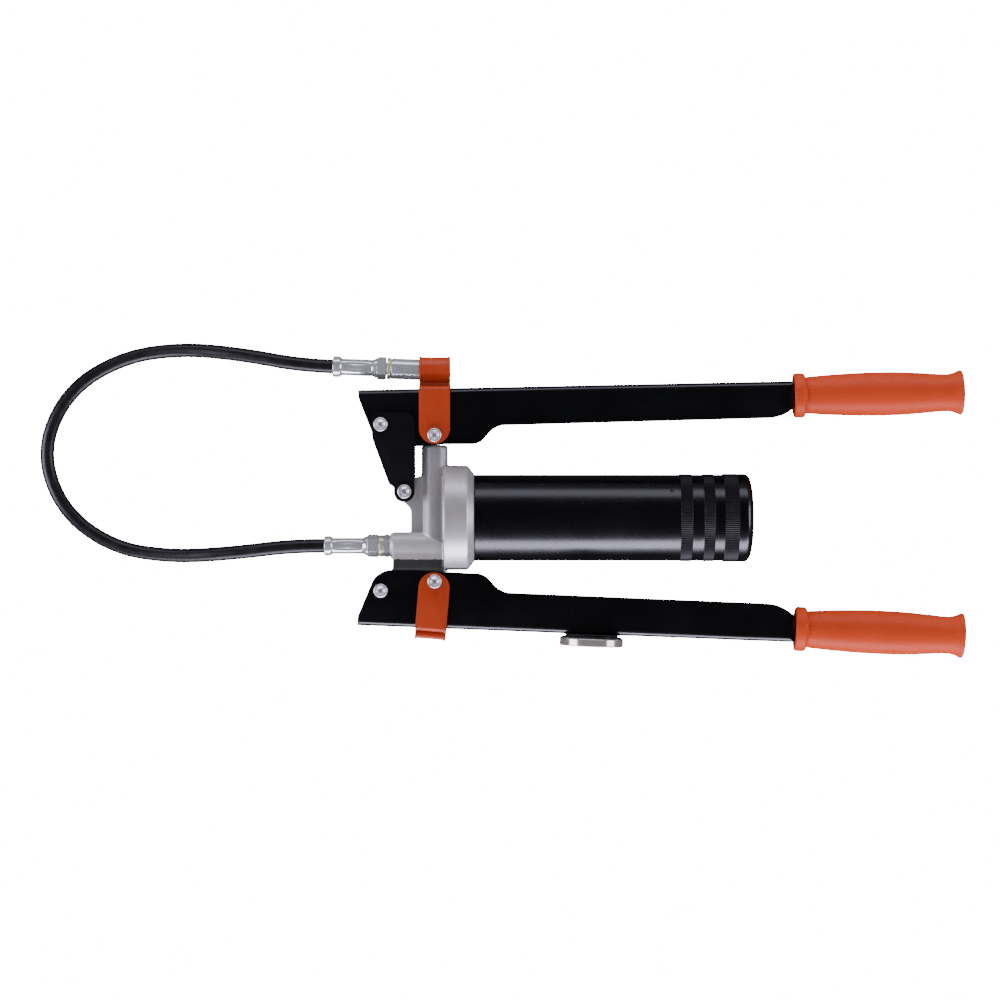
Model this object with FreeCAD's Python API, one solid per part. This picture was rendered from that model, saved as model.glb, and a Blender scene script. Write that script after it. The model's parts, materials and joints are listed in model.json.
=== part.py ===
"""Two-handed lever grease gun with a screw-in cartridge tube, a delivery hose and a clipped coupler.

The gun is drawn on its centre plane and then moved into its own frame, where it lies on its side:
+X runs along the tube from the pump to the grips, +Y runs from the fixed lever to the moving one,
and +Z points up from the surface that it lies on. The origin is the middle of its footprint.
All sizes are millimetres.
"""
import FreeCAD, Part
import math
import os

V = FreeCAD.Vector
X_AXIS, Y_AXIS, Z_AXIS = V(1, 0, 0), V(0, 1, 0), V(0, 0, 1)

# ---- driving dimensions ----
# The barrel axis is x = 0 and the tube axis is y = 0 while the pieces are drawn.
CUP_RADIUS = 39.5            # die-cast cup that the tube screws into
FOOTPRINT_CENTRE = V(171.74, 7.56, -CUP_RADIUS)

LINK_PIVOT = V(-22.5, 19.8, 0)       # lower pivot of the link, on the casting
FULCRUM = V(-40.4, 70.3, 0)          # upper pivot, link to moving lever
PLUNGER_PIN = V(0.1, 62.3, 0)        # moving lever to plunger
FIXED_REAR_RIVET = V(0.2, -47.7, 0)  # fixed lever to casting
FIXED_LEVER_TILT = -1.3              # degrees, after mirroring
FIXED_CLIP_TILT = -3.4               # degrees, further than its lever

SHEET = 2.0                  # lever sheet
BEND_RADIUS = 5.0            # outside of the bend between web and cheeks
LEVER_HALF_WIDTH = 12.0      # outside of a lever's cheek
NECK_HALF_WIDTH = 9.0        # where the lever enters the grip's collar
TONGUE_HALF_WIDTH = 7.5      # inside the grip
TONGUE_HALF_HEIGHT = 7.5
GRIP_LENGTH = 129.8
RIVET_RADIUS = 4.0
RIVET_HEAD_RADIUS = 5.3
RIVET_HEAD_HEIGHT = 2.4
RUNNING_GAP = 0.05           # radial, on every turning or sliding shaft
SIDE_GAP = 0.2               # between plates that swing past each other

LINK_SHEET = 2.5
LINK_HALF_INSIDE = LEVER_HALF_WIDTH + SIDE_GAP
CLIP_SHEET = 1.5
CLIP_HALF_INSIDE = LEVER_HALF_WIDTH + SIDE_GAP
CLIP_HALF_WIDTH = 11.7

LUG_RADIUS = 7.3
BARREL_RADIUS = 9.95
BARREL_TOP = 54.7
PLUNGER_RADIUS = 4.0
PLUNGER_BOTTOM = -9.0
SLOT_TRAVEL = 1.5            # sideways play of the pin in the plunger's eye, each way
SLOT_HALF_HEIGHT = 4.25

OUTLET_Y = -21.2
OUTLET_RADIUS = 10.4
OUTLET_FACE = -33.6
ADAPTER_HEX = -38.4          # back of the adapter's hexagon
ADAPTER_END = -43.4
ADAPTER_STEM = -27.0
VALVE_CHAMBER_RADIUS = 4.5
VALVE_SEAT = -13.0
VALVE_PORT_RADIUS = 2.0
BALL_RADIUS = 3.2

CUP_BACK, CUP_FLOOR, CUP_TAPER, CUP_RIM = 6.8, 14.0, 25.3, 29.8
CUP_RIM_RADIUS = 33.25
TUBE_RADIUS = 32.5
TUBE_WALL = 1.2
TUBE_START, TUBE_END = 30.5, 232.8
NECK_RADIUS = 31.0           # threaded neck inside the cup
NECK_START = 16.0
END_CAP_START, END_CAP_END = 217.3, 240.4
END_CAP_RADIUS = 33.25
KNURL_BANDS = ((184.8, 193.8), (202.2, 210.5))
KNURL_HEIGHT = 0.3
CARTRIDGE_RADIUS = 28.5
CARTRIDGE_END = 212.0

HEX_FLATS = 15.0
PASSAGE_RADIUS = 1.6
STEM_RADIUS = 2.9
HOSE_RADIUS = 5.35
COUPLER_CENTRE = V(0, 111.5, 0)
COUPLER_TILT = -2.1          # degrees; the coupler points slightly down towards the grips
COUPLER_RADIUS = 7.85
COUPLER_MOUTH = 10.9
MOUTH_RADIUS = 4.3
JAW_FACE = 8.0               # front of the jaws, 0.6 behind the mouth's own wall

MAGNET_X = 119.4             # along the fixed lever, from its rear rivet
MAGNET_RADIUS = 24.0
MAGNET_THICKNESS = 6.3
SPACER_HEIGHT = 2.7

# The hose lies in one loop: out of the casting, down to the surface, round and back up to the coupler.
LOOP_Z = HOSE_RADIUS + 0.05 - CUP_RADIUS
HOSE_ROUTE = [
    V(-83.45, OUTLET_Y, 0), V(-107, OUTLET_Y, 0), V(-154, -27, -8), V(-201, -30, -24), V(-248, -23, LOOP_Z),
    V(-287, 6, LOOP_Z), V(-302, 52, LOOP_Z), V(-282, 97, LOOP_Z), V(-241, 122.5, LOOP_Z),
    V(-194, 129, -24), V(-147, 124, -8), V(-101, 115.2, 0), V(-77.1, 114.33, 0)]


# ---- drawing helpers ----
def rounded_outline(corners):
    """A closed outline in the XY plane through (x, y, radius) corners, each rounded to its radius."""
    starts, ends, middles = [], [], []
    count = len(corners)
    for i, (x, y, radius) in enumerate(corners):
        here = V(x, y, 0)
        before = V(corners[i - 1][0], corners[i - 1][1], 0) - here
        after = V(corners[(i + 1) % count][0], corners[(i + 1) % count][1], 0) - here
        before.normalize()
        after.normalize()
        half = before.getAngle(after) / 2
        reach = radius / math.tan(half)
        bisector = before + after
        if radius > 0 and bisector.Length > 1e-6:
            bisector.normalize()
            centre = here + bisector * (radius / math.sin(half))
            middles.append(centre - bisector * radius)
        else:
            reach = 0
            middles.append(None)
        starts.append(here + before * reach)
        ends.append(here + after * reach)
    edges = []
    for i in range(count):
        if middles[i] is not None:
            edges.append(Part.Arc(starts[i], middles[i], ends[i]).toShape())
        if (starts[(i + 1) % count] - ends[i]).Length > 1e-6:
            edges.append(Part.LineSegment(ends[i], starts[(i + 1) % count]).toShape())
    return Part.Face(Part.Wire(edges))


def plate(corners, z_low, z_high):
    """A flat plate cut to a rounded outline, between two heights."""
    face = rounded_outline(corners)
    face.translate(V(0, 0, z_low))
    return face.extrude(V(0, 0, z_high - z_low))


def turned(profile, y=0.0):
    """A turned part about the line at height y that runs along X, from its (x, radius) half section."""
    points = [V(x, y + radius, 0) for x, radius in profile]
    face = Part.Face(Part.makePolygon(points + [points[0]]))
    return face.revolve(V(0, y, 0), X_AXIS, 360)


def line(start, end):
    """A straight edge of a half section, between (x, radius) points."""
    return Part.LineSegment(V(*start, 0), V(*end, 0)).toShape()


def arc(start, middle, end):
    """A curved edge of a half section, through three (x, radius) points."""
    return Part.Arc(V(*start, 0), V(*middle, 0), V(*end, 0)).toBSpline().toShape()


def rod(start, direction, length, radius):
    """A plain cylinder."""
    return Part.makeCylinder(radius, length, start, direction)


def cross_pin(centre, radius, half_length):
    """A cylinder along Z, the same length each side of the centre plane."""
    return rod(centre - Z_AXIS * half_length, Z_AXIS, 2 * half_length, radius)


def hexagon(x_start, x_end, y):
    """A hexagon prism along X with one flat facing up and two corners in the centre plane."""
    corner = HEX_FLATS / math.sqrt(3)
    points = [V(x_start, y + corner * math.cos(math.radians(60 * k)), corner * math.sin(math.radians(60 * k)))
              for k in range(7)]
    prism = Part.Face(Part.makePolygon(points)).extrude(V(x_end - x_start, 0, 0))
    chamfer = 0.8
    turned_ends = turned([(x_start, 0), (x_start, corner - chamfer), (x_start + chamfer * 1.4, corner),
                          (x_end - chamfer * 1.4, corner), (x_end, corner - chamfer), (x_end, 0)], y)
    return prism.common(turned_ends)


def coils(x_start, x_end, y, radius, wire, turns):
    """A compression spring, as the separate turns of its wire."""
    pitch = (x_end - x_start - 2 * wire) / (turns - 1)
    rings = [Part.makeTorus(radius, wire, V(x_start + wire + k * pitch, y, 0), X_AXIS) for k in range(turns)]
    return Part.makeCompound(rings)


def rivet(centre, half_grip):
    """A tubular rivet along Z: a shank with a head each side, dished in the middle."""
    shank = cross_pin(centre, RIVET_RADIUS, half_grip)
    outer = half_grip + RIVET_HEAD_HEIGHT
    for side in (1, -1):
        head = rod(centre + Z_AXIS * (side * half_grip), Z_AXIS * side, RIVET_HEAD_HEIGHT, RIVET_HEAD_RADIUS)
        crown = Part.makeSphere(11.0, centre + Z_AXIS * (side * (outer - 11.0)))
        dish = Part.makeCone(2.0, 3.5, 1.2, centre + Z_AXIS * (side * (outer - 1.2)), Z_AXIS * side)
        shank = shank.fuse(head.common(crown)).cut(dish)
    return shank.removeSplitter()


# ---- the lever stampings, each drawn as a moving lever with its rear hole at the origin ----
LEVER_FRONT_HOLE = FULCRUM - PLUNGER_PIN
TONGUE_WEB = [(283.0, 37.9), (350.0, 39.1)]
MOVING_WEB = [(-57.6, 34.0), (268.6, 40.8)] + TONGUE_WEB
FIXED_WEB = [(-57.6, 34.6), (268.6, 40.0)] + TONGUE_WEB
MOVING_UNDERSIDE = [(271.5, 20.5, 6), (260.5, 13.5, 24), (46.0, 7.7, 16), (33.5, -6.5, 13), (8.0, -6.6, 20),
                    (-12.0, -8.2, 20)]
FIXED_UNDERSIDE = [(272.5, 20.4, 6), (260.5, 11.9, 26), (50.0, 7.9, 17), (37.0, -6.0, 14), (12.0, -6.6, 20),
                   (-12.0, -8.0, 20)]
LEVER_PLAN = [(-60.0, LEVER_HALF_WIDTH), (240.0, LEVER_HALF_WIDTH), (268.6, NECK_HALF_WIDTH),
              (283.0, TONGUE_HALF_WIDTH), (352.0, TONGUE_HALF_WIDTH)]
MOVING_GRIP_START = V(271.0, 30.1, 0)
FIXED_GRIP_START = V(272.5, 30.1, 0)
GRIP_AXIS_TILT = 1.05        # degrees


def plan_block(half_widths, inset):
    """The lever's width seen from its web side, as a block that is tall in Y."""
    upper = [V(x, -60, width - inset) for x, width in half_widths]
    lower = [V(x, -60, inset - width) for x, width in reversed(half_widths)]
    return Part.Face(Part.makePolygon(upper + lower + [upper[0]])).extrude(V(0, 160, 0))


def web_height(x, web):
    """Height of the outside of a lever's web above the rear hole."""
    for (x0, y0), (x1, y1) in zip(web, web[1:]):
        if x <= x1:
            return y0 + (y1 - y0) * (x - x0) / (x1 - x0)
    return web[-1][1]


def round_bends(solid, radius, lowest):
    """Round the four long edges where the web turns into the cheeks."""
    bends = [e for e in solid.Edges if e.BoundBox.YMin > lowest and e.BoundBox.XMax < 269 and e.Length > 20
             and e.BoundBox.ZMin * e.BoundBox.ZMax > 0]
    return solid.makeFillet(radius, bends)


def lever_stamping(web, underside):
    """One pressed channel: web along the outside, two cheeks, a deep front and a tongue for the grip."""
    outline = [(x, y, 0) for x, y in web] + [(350.0, 24.1, 0), (283.0, 22.9, 8)] + underside
    outline += [(-43.6, -7.0, 15), (-57.2, 27.5, 8)]
    solid = plate(outline, -LEVER_HALF_WIDTH, LEVER_HALF_WIDTH).common(plan_block(LEVER_PLAN, 0))
    solid = round_bends(solid, BEND_RADIUS, 33.5)
    inner = [(x, y - SHEET) for x, y in web]
    inner[0] = (-80.0, inner[0][1] - 0.4)
    inner[-1] = (360.0, inner[-1][1] + 0.2)
    hollow_points = [V(x, y, -LEVER_HALF_WIDTH) for x, y in inner]
    hollow_points += [V(360, -40, -LEVER_HALF_WIDTH), V(-80, -40, -LEVER_HALF_WIDTH)]
    hollow_face = Part.Face(Part.makePolygon(hollow_points + [hollow_points[0]]))
    hollow = hollow_face.extrude(V(0, 0, 2 * LEVER_HALF_WIDTH))
    inner_plan = [(-90.0, LEVER_HALF_WIDTH)] + LEVER_PLAN[1:-1] + [(365.0, TONGUE_HALF_WIDTH)]
    hollow = hollow.common(plan_block(inner_plan, SHEET))
    return solid.cut(round_bends(hollow, BEND_RADIUS - SHEET, 31.0))


def on_moving_lever(shape):
    """Place a shape drawn on the stamping onto the moving lever."""
    placed = shape.copy()
    placed.translate(PLUNGER_PIN)
    return placed


def on_fixed_lever(shape):
    """Place a shape drawn on the stamping onto the fixed lever, mirrored and tilted."""
    placed = shape.mirror(V(0, 0, 0), Y_AXIS)
    placed.rotate(V(0, 0, 0), Z_AXIS, FIXED_LEVER_TILT)
    placed.translate(FIXED_REAR_RIVET)
    return placed


def grip_blank():
    """The grip's outside: a collar, a long swell for the palm and a flared, slightly domed end."""
    edges = [
        line((0, 0), (0, 15.6)), arc((0, 15.6), (0.4, 16.4), (1.2, 16.7)), line((1.2, 16.7), (8.0, 16.7)),
        arc((8.0, 16.7), (9.0, 15.7), (9.4, 14.2)), line((9.4, 14.2), (12.0, 14.0)),
        arc((12.0, 14.0), (66.0, 16.5), (114.0, 14.1)), arc((114.0, 14.1), (120.4, 14.9), (124.4, 16.6)),
        arc((124.4, 16.6), (126.5, 17.0), (127.7, 15.4)), arc((127.7, 15.4), (129.1, 8.0), (GRIP_LENGTH, 0)),
        line((GRIP_LENGTH, 0), (0, 0))]
    return Part.Face(Part.Wire(edges)).revolve(V(0, 0, 0), X_AXIS, 360)


def grip(start, underside):
    """The grip with its socket for the lever's tongue, drawn on the stamping."""
    body = grip_blank()
    body.rotate(V(0, 0, 0), Z_AXIS, GRIP_AXIS_TILT)
    body.translate(start)
    neck_x, neck_y = underside[0][:2]
    tongue_room = [(262.0, 41.2, 0), (268.6, 41.2, 0), (283.0, 38.1, 0), (351.0, 39.3, 0),
                   (351.0, 23.9, 0), (283.0, 22.7, 0), (neck_x, neck_y - 0.2, 0), (262.0, underside[1][1] - 0.3, 0)]
    room = plate(tongue_room, -LEVER_HALF_WIDTH, LEVER_HALF_WIDTH)
    return body.cut(room.common(plan_block(LEVER_PLAN, -0.1)))


def moving_lever():
    lever = lever_stamping(MOVING_WEB, MOVING_UNDERSIDE).cut(cross_pin(V(0, 0, 0), RIVET_RADIUS, 20))
    lever = lever.cut(cross_pin(LEVER_FRONT_HOLE, RIVET_RADIUS + RUNNING_GAP, 20))
    return on_moving_lever(lever)


def fixed_lever():
    lever = lever_stamping(FIXED_WEB, FIXED_UNDERSIDE).cut(cross_pin(V(0, 0, 0), RIVET_RADIUS, 20))
    lever = lever.cut(cross_pin(LEVER_FRONT_HOLE, RIVET_RADIUS, 20))
    screw_hole = rod(V(MAGNET_X, web_height(MAGNET_X, FIXED_WEB) - 10, 0), Y_AXIS, 20, 2.6)
    return on_fixed_lever(lever.cut(screw_hole))


# ---- pump head ----
def head_casting():
    """Barrel, cup, outlet boss, link lug and the block that the fixed lever is riveted to."""
    barrel = turned_vertical([(-21.0, 0), (-21.0, BARREL_RADIUS), (BARREL_TOP - 1.2, BARREL_RADIUS),
                              (BARREL_TOP, BARREL_RADIUS - 1.2), (BARREL_TOP, 0)])
    cup = turned([(CUP_BACK, 0), (CUP_BACK, CUP_RADIUS - 1.0), (CUP_BACK + 1.0, CUP_RADIUS),
                  (CUP_TAPER - 1.0, CUP_RADIUS), (CUP_TAPER, CUP_RADIUS - 0.5), (CUP_RIM, CUP_RIM_RADIUS),
                  (CUP_RIM, NECK_RADIUS + SIDE_GAP), (CUP_FLOOR, NECK_RADIUS + SIDE_GAP), (CUP_FLOOR, 0)])
    outlet = turned([(OUTLET_FACE, 0), (OUTLET_FACE, OUTLET_RADIUS - 1.6), (OUTLET_FACE + 2.4, OUTLET_RADIUS),
                     (CUP_BACK + 2, OUTLET_RADIUS), (CUP_BACK + 2, 0)], OUTLET_Y)
    neck = plate([(-2, 31.5, 3), (10, 31.5, 3), (10, -24, 3), (-2, -24, 3)], -9, 9)
    flange = plate([(-23.5, 26.6, 1), (-15.0, 30.2, 4), (-4, 33.5, 0.5), (-4, -20, 0), (-19.5, -20, 0),
                    (-17.8, -12, 5), (-17.8, 7.0, 7), (-24.5, 12.6, 1)], -5.5, 5.5)
    lug = cross_pin(LINK_PIVOT, LUG_RADIUS, LEVER_HALF_WIDTH)
    block_half_width = LEVER_HALF_WIDTH - SHEET - 0.05
    web = plate([(-31.4, -24, 0), (6.2, -24, 0), (6.2, -44, 4), (-31.4, -44, 4)], -9.0, 9.0)
    block = plate([(-31.4, -38.5, 2), (9.0, -38.5, 3), (9.0, -58.0, 4), (-47.0, -64.5, 4), (-47.0, -51.0, 8)],
                  -block_half_width, block_half_width)
    casting = barrel
    for piece in (cup, outlet, neck, flange, lug, web, block):
        casting = casting.fuse(piece)
    spigot = turned([(CUP_FLOOR - 1, 0), (CUP_FLOOR - 1, 12.0), (CUP_FLOOR + 9, 12.0), (CUP_FLOOR + 10, 11.0),
                     (CUP_FLOOR + 10, 0)])
    casting = casting.fuse(spigot)
    barrel_bore = rod(V(0, -16, 0), Y_AXIS, 80, PLUNGER_RADIUS + RUNNING_GAP)
    seal_seat = rod(V(0, BARREL_TOP - 4.0, 0), Y_AXIS, 10, 7.0)
    inlet = rod(V(0, 0, 0), X_AXIS, 40, 3.0)
    delivery = rod(V(0, OUTLET_Y, 0), Y_AXIS, 10, VALVE_PORT_RADIUS)
    port = rod(V(1.5, OUTLET_Y, 0), -X_AXIS, 30, VALVE_PORT_RADIUS)
    chamber = rod(V(VALVE_SEAT, OUTLET_Y, 0), -X_AXIS, 30, VALVE_CHAMBER_RADIUS)
    thread = rod(V(ADAPTER_STEM + 1.0, OUTLET_Y, 0), -X_AXIS, 20, 5.0)
    link_hole = cross_pin(LINK_PIVOT, RIVET_RADIUS, 20)
    rear_hole = cross_pin(FIXED_REAR_RIVET, RIVET_RADIUS, 20)
    front_hole = cross_pin(fixed_front_rivet(), RIVET_RADIUS, 20)
    for hole in (barrel_bore, seal_seat, inlet, delivery, port, chamber, thread, link_hole, rear_hole, front_hole):
        casting = casting.cut(hole)
    return casting.removeSplitter()


def turned_vertical(profile):
    """A turned part about the barrel axis, from its (y, radius) half section."""
    points = [V(radius, y, 0) for y, radius in profile]
    face = Part.Face(Part.makePolygon(points + [points[0]]))
    return face.revolve(V(0, 0, 0), Y_AXIS, 360)


def fixed_front_rivet():
    """Centre of the front rivet of the fixed lever."""
    return on_fixed_lever(Part.Vertex(LEVER_FRONT_HOLE)).Point


def barrel_seal():
    """Wiper ring in the mouth of the barrel."""
    return turned_vertical([(BARREL_TOP - 4.0, PLUNGER_RADIUS + RUNNING_GAP), (BARREL_TOP - 4.0, 7.0),
                            (BARREL_TOP - 0.6, 7.0), (BARREL_TOP - 0.6, PLUNGER_RADIUS + RUNNING_GAP)])


def plunger():
    """Hardened plunger with a slotted eye, which lets the lever's pin swing on its arc."""
    stem_top = BARREL_TOP + 3.5
    stem = rod(V(0, PLUNGER_BOTTOM, 0), Y_AXIS, stem_top - PLUNGER_BOTTOM, PLUNGER_RADIUS)
    eye_half = RIVET_RADIUS + SLOT_TRAVEL + 2.5
    low, high = PLUNGER_PIN.y - 6.6, PLUNGER_PIN.y + 7.0
    eye = plate([(-eye_half, low, 2), (eye_half, low, 2), (eye_half, high, 4), (-eye_half, high, 4)], -6.0, 6.0)
    reach = RIVET_RADIUS + SLOT_TRAVEL
    slot_low, slot_high = PLUNGER_PIN.y - SLOT_HALF_HEIGHT, PLUNGER_PIN.y + SLOT_HALF_HEIGHT
    slot = plate([(-reach, slot_low, 4.0), (reach, slot_low, 4.0), (reach, slot_high, 4.0),
                  (-reach, slot_high, 4.0)], -8, 8)
    return stem.fuse(eye).cut(slot)


def link():
    """The link's outline with its inside cleared, leaving the web between the cheeks."""
    outside = LINK_HALF_INSIDE + LINK_SHEET
    outline = [(-47.0, 79.0, 5.0), (-15.0, 79.0, 6.8), (-14.8, 11.8, 7.6), (-30.4, 11.8, 7.6),
               (-30.4, 23.6, 1.5), (-34.0, 25.2, 1.0), (-46.4, 58.8, 0.6), (-47.0, 62.0, 3.0)]
    solid = plate(outline, -outside, outside)
    clear = [(-60, 58.8, 0), (-43.95, 58.8, 0), (-31.55, 24.4, 0), (-60, 24.4, 0), (-60, 0, 0), (0, 0, 0),
             (0, 90, 0), (-60, 90, 0)]
    solid = solid.cut(plate(clear, -LINK_HALF_INSIDE, LINK_HALF_INSIDE))
    solid = solid.cut(cross_pin(LINK_PIVOT, RIVET_RADIUS + RUNNING_GAP, 20))
    return solid.cut(cross_pin(FULCRUM, RIVET_RADIUS, 20))


# ---- outlet, check valve and hose fittings ----
def check_ball():
    offset = math.sqrt(BALL_RADIUS ** 2 - VALVE_PORT_RADIUS ** 2)
    return Part.makeSphere(BALL_RADIUS - 0.02, V(VALVE_SEAT - offset - 0.02, OUTLET_Y, 0))


def check_spring():
    return coils(ADAPTER_STEM + 0.02, -18.9, OUTLET_Y, 3.0, 0.45, 5)


def outlet_adapter():
    """Threaded nipple in the boss, with a hexagon outside."""
    body = hexagon(ADAPTER_HEX, OUTLET_FACE, OUTLET_Y)
    stem = turned([(OUTLET_FACE - 1, 0), (OUTLET_FACE - 1, 4.95), (ADAPTER_STEM, 4.95), (ADAPTER_STEM, 0)], OUTLET_Y)
    nipple = turned([(ADAPTER_END, 0), (ADAPTER_END, 4.0), (ADAPTER_HEX + 1, 4.0), (ADAPTER_HEX + 1, 0)], OUTLET_Y)
    return body.fuse([stem, nipple]).cut(rod(V(-50, OUTLET_Y, 0), X_AXIS, 30, PASSAGE_RADIUS))


def ring(x_start, x_end, y, outer, inner):
    """A flat ring about a line along X."""
    return turned([(x_start, inner), (x_start, outer), (x_end, outer), (x_end, inner)], y)


def hose_fitting(x_sleeve, x_hex, x_end, y):
    """Hexagon with a cone behind it and a stem that the hose is crimped onto."""
    body = hexagon(x_hex, x_end, y)
    cone = turned([(x_sleeve, 0), (x_sleeve, 6.0), (x_hex - 0.6, 7.4), (x_hex + 0.5, 7.4), (x_hex + 0.5, 0)], y)
    stem = turned([(x_sleeve - 25.0, 0), (x_sleeve - 25.0, STEM_RADIUS), (x_sleeve + 1, STEM_RADIUS),
                   (x_sleeve + 1, 0)], y)
    return body.fuse([cone, stem]).cut(rod(V(x_sleeve - 30, y, 0), X_AXIS, 60, PASSAGE_RADIUS))


def ferrule(x_collar, x_sleeve, x_end, y, collar_radius, sleeve_radius):
    """Crimped sleeve with a collar where the hose leaves it."""
    return turned([(x_collar, STEM_RADIUS + 0.02), (x_collar, collar_radius - 0.8), (x_collar + 0.8, collar_radius),
                   (x_sleeve - 0.8, collar_radius), (x_sleeve, sleeve_radius), (x_end, sleeve_radius),
                   (x_end, STEM_RADIUS + 0.02)], y)


def along_coupler(shape):
    """Move a shape drawn along X at y = 0 onto the coupler's axis."""
    placed = shape.copy()
    placed.rotate(V(0, 0, 0), Z_AXIS, COUPLER_TILT)
    placed.translate(COUPLER_CENTRE)
    return placed


def coupler_sleeve():
    """Outer sleeve of the coupler: cavity for the jaws, and an open mouth for the grease nipple."""
    mouth = COUPLER_MOUTH
    body = turned([(-33.0, 0), (-33.0, COUPLER_RADIUS - 0.6), (-32.4, COUPLER_RADIUS), (9.6, COUPLER_RADIUS),
                   (mouth, COUPLER_RADIUS - 1.4), (mouth, 0)])
    cavity = rod(V(-17.0, 0, 0), X_AXIS, 25.6, 6.1)
    mouth_bore = rod(V(0, 0, 0), X_AXIS, 20, MOUTH_RADIUS)
    thread = rod(V(-40.0, 0, 0), X_AXIS, 17.0, 4.5)
    passage = rod(V(-30.0, 0, 0), X_AXIS, 20, PASSAGE_RADIUS)
    return body.cut(cavity.fuse([mouth_bore, thread, passage]))


def coupler_core():
    """Fixed core that carries the seal and guides the jaws."""
    return turned([(-6.0, PASSAGE_RADIUS), (-6.0, 6.05), (-3.0, 6.05), (-3.0, 3.0), (1.0, 3.0),
                   (1.0, PASSAGE_RADIUS)])


def coupler_jaws():
    """Four hardened jaws round the core."""
    shell = ring(-2.0, JAW_FACE, 0, 6.0, 3.35)
    gap = 0.6
    for angle in (45, 135):
        slit = Part.makeBox(20, 20, gap, V(-5, -10, -gap / 2))
        slit.rotate(V(0, 0, 0), X_AXIS, angle)
        shell = shell.cut(slit)
    return Part.makeCompound(shell.Solids)


# ---- clips ----
def clip(loop_height, loop_half_width, loop_half_height, web_top):
    """A strap folded over a lever's web, pinched to a neck and opened into a loop.

    It is drawn on the stamping, straddling the rear hole. web_top is the height of the web there.
    """
    def section(grow):
        cheek = CLIP_HALF_INSIDE + grow
        saddle = web_top + 0.3 + grow
        shoulders = rounded_outline([(-cheek, -14, 0), (cheek, -14, 0), (cheek, saddle, 2.4 + grow),
                                     (-cheek, saddle, 2.4 + grow)])
        neck_half = 1.4 + grow
        neck = rounded_outline([(-neck_half, saddle - 1, 0), (neck_half, saddle - 1, 0),
                                (neck_half, loop_height, 0), (-neck_half, loop_height, 0)])
        width, height = loop_half_width + grow, loop_half_height + grow
        corner = min(width, height) - 0.01
        loop = rounded_outline([(-width, loop_height - height, corner), (width, loop_height - height, corner),
                                (width, loop_height + height, corner), (-width, loop_height + height, corner)])
        return shoulders.fuse([neck, loop]).removeSplitter()

    strap = section(CLIP_SHEET).cut(section(0)).extrude(V(0, 0, 2 * CLIP_HALF_WIDTH))
    strap.translate(V(0, 0, -CLIP_HALF_WIDTH))
    strap.rotate(V(0, 0, 0), Y_AXIS, 90)
    shape = plate([(-CLIP_HALF_WIDTH, 70, 0), (-CLIP_HALF_WIDTH, -CLIP_HALF_WIDTH, CLIP_HALF_WIDTH - 0.01),
                   (CLIP_HALF_WIDTH, -CLIP_HALF_WIDTH, CLIP_HALF_WIDTH - 0.01), (CLIP_HALF_WIDTH, 70, 0)], -20, 20)
    shape.translate(V(0, 5.1, 0))
    return strap.common(shape).cut(cross_pin(V(0, 0, 0), RIVET_RADIUS, 20))


# ---- tube and cartridge ----
def tube():
    """Steel tube with a reduced, threaded neck and two raised bands for the hand."""
    inner = TUBE_RADIUS - TUBE_WALL
    profile = [(NECK_START, NECK_RADIUS - TUBE_WALL), (NECK_START, NECK_RADIUS), (TUBE_START, NECK_RADIUS),
               (TUBE_START, TUBE_RADIUS)]
    for low, high in KNURL_BANDS:
        raised = TUBE_RADIUS + KNURL_HEIGHT
        profile += [(low, TUBE_RADIUS), (low + 0.3, raised), (high - 0.3, raised), (high, TUBE_RADIUS)]
    profile += [(TUBE_END, TUBE_RADIUS), (TUBE_END, inner), (TUBE_START + TUBE_WALL, inner),
                (TUBE_START + TUBE_WALL, NECK_RADIUS - TUBE_WALL)]
    vent = rod(V(178.0, 20.0, 0), Z_AXIS, 40, 1.5)
    return turned(profile).cut(vent)


def tube_end_cap():
    """Pressed cap over the tube's rear end, with a well rounded rim and a slightly crowned face."""
    inner = TUBE_RADIUS + 0.02
    edges = [
        line((END_CAP_START, inner), (END_CAP_START, END_CAP_RADIUS - 0.3)),
        line((END_CAP_START, END_CAP_RADIUS - 0.3), (END_CAP_START + 0.4, END_CAP_RADIUS)),
        line((END_CAP_START + 0.4, END_CAP_RADIUS), (234.6, END_CAP_RADIUS)),
        arc((234.6, END_CAP_RADIUS), (238.1, 29.6), (239.6, 22.3)),
        arc((239.6, 22.3), (240.2, 12.0), (END_CAP_END, 0)),
        line((END_CAP_END, 0), (END_CAP_END - TUBE_WALL, 0)),
        arc((END_CAP_END - TUBE_WALL, 0), (239.0, 12.0), (238.4, 22.0)),
        arc((238.4, 22.0), (236.9, 28.8), (233.4, inner)),
        line((233.4, inner), (END_CAP_START, inner))]
    return Part.Face(Part.Wire(edges)).revolve(V(0, 0, 0), X_AXIS, 360)


def tube_gasket():
    return ring(CUP_RIM + 0.03, TUBE_START - 0.03, 0, 32.8, NECK_RADIUS + 0.05)


def cartridge_shell():
    """Screw-in cartridge: a plastic tube, open behind, with a neck that screws over the spigot."""
    wall = 1.2
    return turned([(15.0, 12.1), (15.0, 14.5), (25.0, 14.5), (26.5, CARTRIDGE_RADIUS - 2), (28.5, CARTRIDGE_RADIUS),
                   (CARTRIDGE_END, CARTRIDGE_RADIUS), (CARTRIDGE_END, CARTRIDGE_RADIUS - wall),
                   (29.0, CARTRIDGE_RADIUS - wall), (27.5, CARTRIDGE_RADIUS - wall - 1.5), (26.2, 12.1)])


def follower_piston():
    """Plastic follower that the grease draws forward as it is used."""
    radius = CARTRIDGE_RADIUS - 1.2 - 0.15
    return turned([(194.0, 0), (194.0, radius), (208.0, radius), (208.0, radius - 2.0), (197.0, radius - 2.0),
                   (197.0, 0)])


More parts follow.
